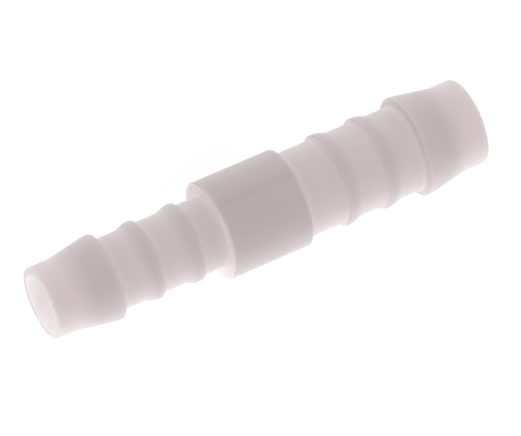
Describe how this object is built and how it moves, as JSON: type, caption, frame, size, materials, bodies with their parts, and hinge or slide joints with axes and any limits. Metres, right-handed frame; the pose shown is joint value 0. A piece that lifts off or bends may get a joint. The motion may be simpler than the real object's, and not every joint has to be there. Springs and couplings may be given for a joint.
{
  "type": "barbed hose reducer",
  "caption": "Moulded plastic reducer that joins a large hose to a smaller one: a barbed, ridged tail at each end, a round collar between them, and an open bore right through.",
  "frame": {"origin": "middle of the part's length, on the bore's axis", "axes": "+X along the bore towards the large tail, +Z square to the bore. The part is round, so any turn about X is the same."},
  "size_m": [0.0644, 0.014, 0.014],
  "materials": {
    "natural_white_plastic": "satin as moulded, natural white, slightly translucent where the wall is thin"
  },
  "bodies": {
    "root": {"reducer_body": "natural_white_plastic"}
  },
  "joints": []
}
